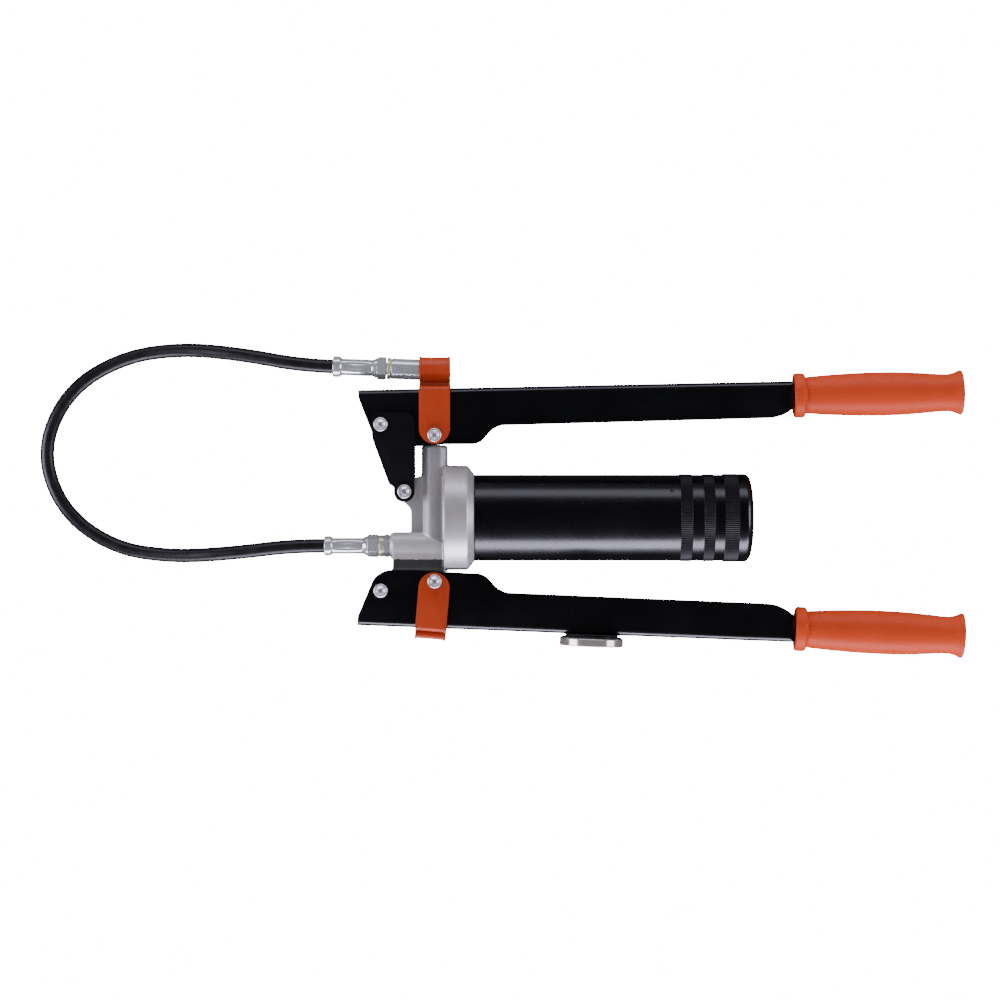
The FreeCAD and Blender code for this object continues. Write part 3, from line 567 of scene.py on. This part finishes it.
class GREASEGUN_OT_levers(bpy.types.Operator):
    """Round the edges of both lever stampings and the link"""
    bl_idname = "greasegun.levers"
    bl_label = "Levers and Link"

    def execute(self, context):
        edge = context.scene.gun_sizes.edge_radius / MM
        rounded_node("moving_lever", "Moving_Lever", "moving_lever", "black_enamel", edge)
        rounded_node("fixed_lever", "Fixed_Lever", "head", "black_enamel", edge)
        link_edge = edge * 2.5
        satin = make_finish(
            "Black link enamel", tuple(context.scene.gun_colours.enamel), metallic=0.0,
            rough=(0.30, 0.38), coarse=28, fine=420, bump=0.006, drift=0.2, specular=0.8)
        rounded_node("link", "Lever_Link", "link", "black_enamel", link_edge, 4, finish=satin)
        return {"FINISHED"}


class GREASEGUN_OT_grips(bpy.types.Operator):
    """Turn the two moulded grips"""
    bl_idname = "greasegun.grips"
    bl_label = "Grips"

    def execute(self, context):
        profile = [(2.4, 9.0), (2.4, 11.6), (1.2, 12.6), (0.2, 13.8), (0.0, 15.0), (0.35, 16.1),
                   (1.2, 16.7), (2.4, 16.85), (6.4, 16.85), (7.6, 16.6), (8.4, 15.9), (8.8, 14.9),
                   (9.1, 14.2), (9.6, 13.7), (10.3, 13.7), (10.9, 14.1), (12.5, 14.15),
                   (20.0, 14.75), (30.0, 15.4), (42.0, 16.0), (54.0, 16.4), (66.0, 16.5),
                   (78.0, 16.35), (90.0, 15.8), (102.0, 14.95), (110.0, 14.3), (114.0, 14.1),
                   (117.0, 14.2), (119.8, 14.65), (122.2, 15.5), (124.2, 16.4), (125.5, 16.95),
                   (126.5, 17.0), (127.3, 16.5), (127.9, 15.2), (128.4, 12.4), (129.1, 8.0),
                   (129.6, 4.0), (129.78, 1.0)]
        moving_place = Vector(PLUNGER_PIN) + Vector(MOVING_GRIP_START)
        fixed_start = Vector(FIXED_GRIP_START)
        fixed_start.rotate(Matrix.Rotation(FIXED_TILT, 2))
        fixed_place = Vector(FIXED_PIN) + fixed_start
        for name, node, body, place, tilt in (
                ("Moving_Grip", "moving_grip", "moving_lever", moving_place, GRIP_TILT),
                ("Fixed_Grip", "fixed_grip", "head", fixed_place, FIXED_TILT - GRIP_TILT)):
            grip = turn_piece(name, profile, 96)
            place_piece(grip, place.x, place.y, turn=(0, 0, tilt))
            finish_piece(grip, body, "orange_grip", node, angle=50)
        return {"FINISHED"}


class GREASEGUN_OT_rivets(bpy.types.Operator):
    """Turn the rolled tubular rivets"""
    bl_idname = "greasegun.rivets"
    bl_label = "Rivets"

    def execute(self, context):
        rivets = [("link_rivet", "Link_Rivet", "head"), ("fulcrum_rivet", "Fulcrum_Rivet", "link"),
                  ("plunger_rivet", "Plunger_Rivet", "moving_lever"),
                  ("fixed_front_rivet", "Fixed_Front_Rivet", "head"),
                  ("fixed_rear_rivet", "Fixed_Rear_Rivet", "head")]
        # A step is measured outwards from the rivet's end, so one rolled head serves both ends.
        head = [(-1.9, 0.5), (-1.9, 1.5), (-1.5, 2.2), (-0.75, 2.9), (-0.25, 3.2), (-0.03, 3.7),
                (0.0, 4.2), (-0.15, 4.75), (-0.55, 5.15), (-1.1, 5.32), (-1.8, 5.28), (-2.3, 5.05),
                (-2.4, 4.0)]
        rolled = make_finish(
            "Rolled rivet zinc", tuple(context.scene.gun_colours.zinc), metallic=0.85,
            rough=(0.26, 0.36), coarse=60, fine=1200, bump=0.02, drift=0.04)
        for node, name, body in rivets:
            low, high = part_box(node)
            half = (high.z - low.z) / 2 / MM
            stations = [(half + step, radius) for step, radius in head]
            stations += [(-half - step, radius) for step, radius in reversed(head)]
            rivet = turn_piece(name, stations, 48)
            centre = ((low + high) / 2 - DATUM) / MM
            place_piece(rivet, centre.x, centre.y, centre.z, turn=(0, -math.pi / 2, 0))
            finish_piece(rivet, body, "bright_zinc", node, angle=40, finish=rolled)
        return {"FINISHED"}


def lip_test(middle, across, side, shoulder, loop, round_start, flattening):
    """A test for the outward faces past a clip's shoulder, in the strips along its two edges.

    side is 1 for a clip that points up the gun and -1 for one that points down. Past round_start,
    the clip bends round its loop, and flattening says how much flatter than a circle it is there.
    """
    def is_lip(centre, normal):
        in_strip = abs((centre - middle).dot(across)) >= CLIP_PLAIN_HALF * MM
        cut_end = abs(normal.dot(across)) > 0.5
        if not in_strip or cut_end or (centre.y - shoulder) * side < -1.0 * MM:
            return False
        depth = centre.z - DATUM.z
        if (centre.y - loop) * side > round_start * MM:
            out = Vector((0, (centre.y - loop) * flattening, depth))
        else:
            out = Vector((0, side, math.copysign(1.0, depth)))
        return normal.dot(out.normalized()) > 0.3

    return is_lip


class GREASEGUN_OT_clips(bpy.types.Operator):
    """Press the two orange clips with rolled edges"""
    bl_idname = "greasegun.clips"
    bl_label = "Clips"

    def execute(self, context):
        lip = context.scene.gun_sizes.lip_height
        for node, name, body, side, tilt, shoulder_y, loop_y, round_start, flattening in (
                ("coupler_clip", "Coupler_Clip", "moving_lever", 1, 0.0, 97.6, 111.5, -7.5, 1),
                ("fixed_clip", "Fixed_Clip", "head", -1, FIXED_CLIP_TILT, -83.0, -88.5, -1.8, 3)):
            clip = copy_node(node, name)
            low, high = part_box(node)
            middle = (low + high) / 2
            across = Vector((math.cos(tilt), math.sin(tilt), 0))
            for offset in (-CLIP_PLAIN_HALF, CLIP_PLAIN_HALF):
                edit_all(clip)
                bpy.ops.mesh.bisect(plane_co=middle + across * (offset * MM), plane_no=across)
                leave_edit()
            shoulder = DATUM.y + shoulder_y * MM
            loop = DATUM.y + loop_y * MM
            select_faces(clip, lip_test(middle, across, side, shoulder, loop, round_start,
                                        flattening))
            bpy.ops.mesh.extrude_region_shrink_fatten(TRANSFORM_OT_shrink_fatten={"value": lip})
            leave_edit()
            bevel_piece(clip, 0.35 * MM)
            finish_piece(clip, body, "orange_enamel", node)
        return {"FINISHED"}


def crimped_sleeve(name, *, x_collar, x_sleeve, x_end, collar, sleeve):
    """A ferrule: rounded collar, crimped sleeve with shallow die marks, and an open end.

    The sizes are in millimetres: where the collar and the sleeve start and the sleeve ends, and
    their two radii.
    """
    bore = 3.1
    length = x_end - x_sleeve
    stations = [(x_collar + 1.4, bore), (x_collar + 0.5, 5.35), (x_collar, 5.75),
                (x_collar - 0.02, collar - 1.2), (x_collar + 0.35, collar - 0.4),
                (x_collar + 1.1, collar), (x_sleeve - 1.9, collar), (x_sleeve - 0.9, collar - 0.25),
                (x_sleeve - 0.1, sleeve + 0.35), (x_sleeve + 0.5, sleeve), (x_sleeve + 1.2, sleeve)]
    stations += [(x_sleeve + 1.2 + (length - 2.4) * step / 6, sleeve) for step in range(1, 7)]
    stations += [(x_end - 0.5, sleeve), (x_end, sleeve - 0.3), (x_end, bore),
                 (x_collar + 1.4, bore)]
    sides = 64
    piece = turn_piece(name, stations, sides, hollow=True)

    margin = 1.3
    middle = (x_sleeve + x_end) / 2 * MM
    half = ((x_end - margin) - (x_sleeve + margin)) / 2 * MM
    # The die presses its marks in twice, the second time on the middle of each mark only.
    for ratio, share in ((0.972, 0.98), (0.975, 0.6)):
        def in_mark(point):
            outside = point.yz.length > (sleeve - 0.8) * MM
            on_line = line_round(point, sides) % 8 in (3, 4, 5)
            return outside and on_line and abs(point.x - middle) < half * share

        select_vertices(piece, in_mark)
        bpy.ops.transform.resize(value=(1, ratio, ratio), center_override=(0, 0, 0))
        leave_edit()
    return piece


class GREASEGUN_OT_fittings(bpy.types.Operator):
    """Make the outlet's and the coupler's hexagons, lock rings and crimped ferrules"""
    bl_idname = "greasegun.fittings"
    bl_label = "Hose Fittings"

    def execute(self, context):
        rounded_node("outlet_adapter", "Outlet_Adapter", "head", "bright_zinc", 0.25)
        rounded_node("outlet_fitting", "Outlet_Hexagon", "head", "bright_zinc", 0.25)
        rounded_node("outlet_lock_ring", "Outlet_Lock_Ring", "head", "yellow_zinc", 0.4)
        rounded_node("coupler_fitting", "Coupler_Hexagon", "moving_lever", "bright_zinc", 0.25)
        rounded_node("coupler_lock_ring", "Coupler_Lock_Ring", "moving_lever", "yellow_zinc", 0.4)
        outlet = crimped_sleeve("Outlet_Ferrule", x_collar=-83.4, x_sleeve=-77.3, x_end=-54.1,
                                collar=7.4, sleeve=6.0)
        place_piece(outlet, *OUTLET_PLACE)
        finish_piece(outlet, "head", "bright_zinc", "outlet_ferrule")
        coupler = crimped_sleeve("Coupler_Ferrule", x_collar=-77.05, x_sleeve=-70.5, x_end=-47.6,
                                 collar=7.9, sleeve=6.3)
        place_piece(coupler, *COUPLER_PLACE, turn=(0, 0, COUPLER_TILT))
        finish_piece(coupler, "moving_lever", "bright_zinc", "coupler_ferrule")
        return {"FINISHED"}


class GREASEGUN_OT_coupler(bpy.types.Operator):
    """Turn the coupler's sleeve with its rounded mouth"""
    bl_idname = "greasegun.coupler"
    bl_label = "Coupler"

    def execute(self, context):
        stations = [(-33.0, 4.5), (-33.0, 7.0), (-32.85, 7.3), (-32.4, 7.55), (-31.8, 7.85),
                    (-24.2, 7.85), (-23.9, 7.7), (-23.4, 7.7), (-23.1, 7.85), (6.6, 7.85),
                    (7.6, 7.75), (9.2, 7.2), (10.3, 6.5), (10.8, 5.8), (10.9, 5.2), (10.7, 4.6),
                    (10.2, 4.35), (8.6, 4.3), (8.6, 6.1), (-17.0, 6.1), (-17.0, 4.5), (-33.0, 4.5)]
        sleeve = turn_piece("Coupler_Sleeve", stations, 72, hollow=True)
        place_piece(sleeve, *COUPLER_PLACE, turn=(0, 0, COUPLER_TILT))
        finish_piece(sleeve, "moving_lever", "bright_zinc", "coupler_sleeve")
        rounded_node("coupler_jaws", "Coupler_Jaws", "jaws", "spring_steel", 0.15)
        return {"FINISHED"}


def cut_knurl(piece, bands, radius, sizes):
    """Press every second line of a band inwards, which leaves fine straight ridges."""
    sides = sizes.knurl_ridges * 2

    def in_groove(point):
        in_band = any(start * MM < point.x < end * MM for start, end in bands)
        return in_band and line_round(point, sides) % 2 == 0 and point.yz.length > radius * MM

    ratio = 1 - sizes.knurl_depth / (radius * MM)
    select_vertices(piece, in_groove)
    bpy.ops.transform.resize(value=(1, ratio, ratio), center_override=(0, 0, 0))
    leave_edit()


def fill_cap_centre(cap, face_x):
    """Close the pinhole that turning leaves in the middle of a face of the cap."""
    select_vertices(cap, lambda point: abs(point.x - face_x * MM) < 0.01 * MM
                    and point.yz.length < 2 * MM)
    bpy.ops.mesh.edge_face_add()
    bpy.ops.mesh.select_all(action="DESELECT")
    leave_edit()


class GREASEGUN_OT_tube(bpy.types.Operator):
    """Turn the enamelled tube with its knurled bands, and the crowned end cap"""
    bl_idname = "greasegun.tube"
    bl_label = "Tube and End Cap"

    def execute(self, context):
        sizes = context.scene.gun_sizes
        sides = sizes.knurl_ridges * 2
        stations = [(16.0, 29.8), (16.0, 30.8), (16.4, 31.0), (30.5, 31.0), (30.5, 32.2),
                    (30.9, 32.5)]
        bands = ((184.8, 193.8), (202.2, 210.5))
        cap_band = (217.6, 228.6)
        for start, end in bands:
            stations += [(start - 0.3, 32.5), (start, 32.42), (start + 0.3, 32.85),
                         (start + 0.8, 32.95), (end - 0.8, 32.95), (end - 0.3, 32.85), (end, 32.42),
                         (end + 0.3, 32.5)]
        stations += [(232.5, 32.5), (232.8, 32.3), (232.8, 31.3), (31.7, 31.3), (31.7, 29.8),
                     (16.0, 29.8)]
        tube = turn_piece("Grease_Tube", stations, sides, hollow=True)
        cut_knurl(tube, bands, 32.6, sizes)
        place_piece(tube, 0, 0)
        vent = DATUM + Vector((178, 20, 28)) * MM
        bpy.ops.mesh.primitive_cylinder_add(vertices=32, radius=1.5 * MM, depth=14 * MM,
                                            location=vent)
        drill = context.object
        hole = tube.modifiers.new("Vent", "BOOLEAN")
        hole.operation = "DIFFERENCE"
        hole.object = drill
        make_active(tube)
        bpy.ops.object.modifier_apply(modifier="Vent")
        bpy.data.objects.remove(drill)
        finish_piece(tube, "tube", "black_gloss", "tube", angle=30)
        # The knurled bands are rougher and duller, and their base at twice the enamel's colour is a
        # painted sheen for the light the knurl scatters.
        knurled = make_finish(
            "Knurled enamel with painted sheen", scaled(tuple(context.scene.gun_colours.enamel), 2), metallic=0.0,
            rough=(0.44, 0.54), coarse=40, fine=700, bump=0.01, drift=0.2, specular=0.3)
        vary_faces(tube, knurled, lambda at: any(low < at.x / MM < high for low, high in bands))

        outer_x, inner_x = 240.4, 239.2
        cap_stations = [(217.3, 32.6), (217.3, 32.9), (217.6, 33.15), (218.1, 33.3), (228.2, 33.3),
                        (228.6, 33.15), (228.9, 32.95), (229.4, 33.1), (230.0, 33.2), (233.6, 33.2),
                        (234.8, 33.0), (236.0, 32.3), (237.0, 31.2), (237.8, 29.8), (238.5, 27.8),
                        (239.1, 25.2), (239.6, 22.3), (240.0, 18.0), (240.25, 12.0), (240.38, 6.0),
                        (outer_x, 1.0), (inner_x, 1.0), (239.0, 12.0), (238.4, 22.0), (236.9, 28.8),
                        (233.4, 32.55), (217.3, 32.6)]
        cap = turn_piece("Tube_End_Cap", cap_stations, sides, hollow=True)
        for face_x in (outer_x, inner_x):
            fill_cap_centre(cap, face_x)
        edit_all(cap)
        bpy.ops.mesh.normals_make_consistent(inside=False)
        leave_edit()
        cut_knurl(cap, (cap_band,), 33.0, sizes)
        place_piece(cap, 0, 0)
        finish_piece(cap, "tube", "black_gloss", "tube_end_cap", angle=30)
        # The cap's knurled band gets the same painted sheen.
        vary_faces(cap, knurled, lambda at: cap_band[0] < at.x / MM < cap_band[1])
        return {"FINISHED"}


class GREASEGUN_OT_magnet(bpy.types.Operator):
    """Round the edges of the magnet holder's pieces"""
    bl_idname = "greasegun.magnet"
    bl_label = "Magnet Holder"

    def execute(self, context):
        rounded_node("magnet_pot", "Magnet_Pot", "head", "nickel_plate", 0.3, 3)
        rounded_node("magnet_spacer", "Magnet_Spacer", "head", "black_plastic", 0.25)
        rounded_node("magnet_screw", "Magnet_Screw", "head", "bright_zinc", 0.3)
        return {"FINISHED"}


class GREASEGUN_OT_plain_parts(bpy.types.Operator):
    """Give the pieces that keep their drawn shape their finishes"""
    bl_idname = "greasegun.plain_parts"
    bl_label = "Plain Parts"

    def execute(self, context):
        for name, node in NODES.items():
            node.data.materials.clear()
            node.data.materials.append(finish_for(slot_of(name)))
        return {"FINISHED"}


def lay_floor():
    """A pale paper floor that glows for the camera only and isn't seen in the metal."""
    clear_selection()
    bpy.ops.mesh.primitive_plane_add(size=9.0, location=(0, 0, 0))
    floor = bpy.context.object
    floor.name = "Studio_Floor"
    paper, tree, shader, place = blank_finish("Pale paper")
    fibres = grain(tree, place, scale=900, detail=3)
    shade = shades(tree, fibres, dark=(0.86, 0.86, 0.87), light=(0.9, 0.9, 0.9))
    tree.links.new(shade, shader.inputs["Base Color"])
    shader.inputs["Roughness"].default_value = 0.9
    shader.inputs["Specular IOR Level"].default_value = 0.1
    shader.inputs["Emission Color"].default_value = (1, 1, 1, 1)
    sight = tree.nodes.new("ShaderNodeLightPath")
    glow = tree.nodes.new("ShaderNodeMath")
    glow.operation = "MULTIPLY"
    glow.inputs[1].default_value = FLOOR_GLOW
    tree.links.new(sight.outputs["Is Camera Ray"], glow.inputs[0])
    tree.links.new(glow.outputs["Value"], shader.inputs["Emission Strength"])
    floor.data.materials.append(paper)
    floor.visible_glossy = False


def hang_lights(scene):
    """Large soft lights all round, of which only the last four are seen in the metal."""
    aim = DATUM + Vector((STAGE_SHIFT, 0, 0))
    foot = Vector((aim.x, aim.y, 0))
    for name, place, size, watts, glossy in (
            ("Overhead", (0.0, 0.0, 2.0), (3.2, 3.2), 42, False),
            ("Front fill", (0.0, -1.8, 0.5), (3.0, 0.9), 44, False),
            ("Back fill", (0.0, 1.8, 0.5), (3.0, 0.9), 44, False),
            ("Front", (0.1, -1.55, 0.37), (2.6, 0.72), 62, True),
            ("Back", (0.0, 1.6, 0.62), (2.6, 0.62), 11, True),
            ("Left", (-1.7, -0.1, 0.6), (1.2, 1.0), 30, True),
            ("Right", (1.8, 0.1, 0.6), (1.2, 1.0), 22, True)):
        lamp = bpy.data.lights.new(name, "AREA")
        lamp.shape = "RECTANGLE"
        lamp.size, lamp.size_y = size
        lamp.energy = watts * scene.gun_sizes.light_power
        if glossy:
            lamp.color = COOL_TINT
        holder = bpy.data.objects.new(name + " light", lamp)
        holder.location = Vector(place) + foot
        holder.rotation_euler = (holder.location - aim).to_track_quat("Z", "Y").to_euler()
        holder.visible_glossy = glossy
        scene.collection.objects.link(holder)


def fill_room(scene):
    """A faint even light from every side."""
    world = bpy.data.worlds.new("Soft room")
    world.use_nodes = True
    background = world.node_tree.nodes["Background"]
    background.inputs["Color"].default_value = (0.9, 0.92, 1.0, 1)
    background.inputs["Strength"].default_value = 0.03
    scene.world = world


def set_camera(scene):
    """A camera straight above the gun, as wide as the view asked for."""
    sizes = scene.gun_sizes
    lens = bpy.data.cameras.new("Gun camera")
    lens.sensor_width = SENSOR_WIDTH
    lens.lens = SENSOR_WIDTH * sizes.camera_height / sizes.view_width
    lens.clip_end = 20
    camera = bpy.data.objects.new("Gun camera", lens)
    view_x, view_y = VIEW_CENTRE
    camera.location = DATUM + Vector((view_x * MM, view_y * MM, sizes.camera_height))
    scene.collection.objects.link(camera)
    scene.camera = camera


class GREASEGUN_OT_studio(bpy.types.Operator):
    """Set the pale floor, the soft lights and the camera"""
    bl_idname = "greasegun.studio"
    bl_label = "Studio"

    def execute(self, context):
        lay_floor()
        hang_lights(context.scene)
        fill_room(context.scene)
        set_camera(context.scene)
        return {"FINISHED"}


class GREASEGUN_PT_panel(bpy.types.Panel):
    """Build the grease gun piece by piece"""
    bl_label = "Grease Gun"
    bl_space_type = "VIEW_3D"
    bl_region_type = "UI"
    bl_category = "Grease Gun"

    def draw(self, context):
        layout = self.layout
        for group in (context.scene.gun_sizes, context.scene.gun_colours):
            column = layout.column(align=True)
            for key in group.bl_rna.properties.keys():
                if key not in ("rna_type", "name"):
                    column.prop(group, key)
        column = layout.column()
        for operator in PIECES:
            column.operator(operator.bl_idname)


PIECES = (GREASEGUN_OT_casting, GREASEGUN_OT_levers, GREASEGUN_OT_grips, GREASEGUN_OT_rivets,
          GREASEGUN_OT_clips, GREASEGUN_OT_fittings, GREASEGUN_OT_coupler, GREASEGUN_OT_tube,
          GREASEGUN_OT_magnet, GREASEGUN_OT_hose, GREASEGUN_OT_plain_parts, GREASEGUN_OT_studio)
CLASSES = (GunSizes, GunColours) + PIECES + (GREASEGUN_PT_panel,)


def register():
    for item in CLASSES:
        bpy.utils.register_class(item)
    bpy.types.Scene.gun_sizes = PointerProperty(type=GunSizes)
    bpy.types.Scene.gun_colours = PointerProperty(type=GunColours)


def unregister():
    del bpy.types.Scene.gun_colours
    del bpy.types.Scene.gun_sizes
    for item in reversed(CLASSES):
        bpy.utils.unregister_class(item)


def main():
    """Build every piece and the studio."""
    register()
    bpy.ops.greasegun.casting()
    bpy.ops.greasegun.levers()
    bpy.ops.greasegun.grips()
    bpy.ops.greasegun.rivets()
    bpy.ops.greasegun.clips()
    bpy.ops.greasegun.fittings()
    bpy.ops.greasegun.coupler()
    bpy.ops.greasegun.tube()
    bpy.ops.greasegun.magnet()
    bpy.ops.greasegun.hose()
    bpy.ops.greasegun.plain_parts()
    bpy.ops.greasegun.studio()


if __name__ == "__main__":
    main()
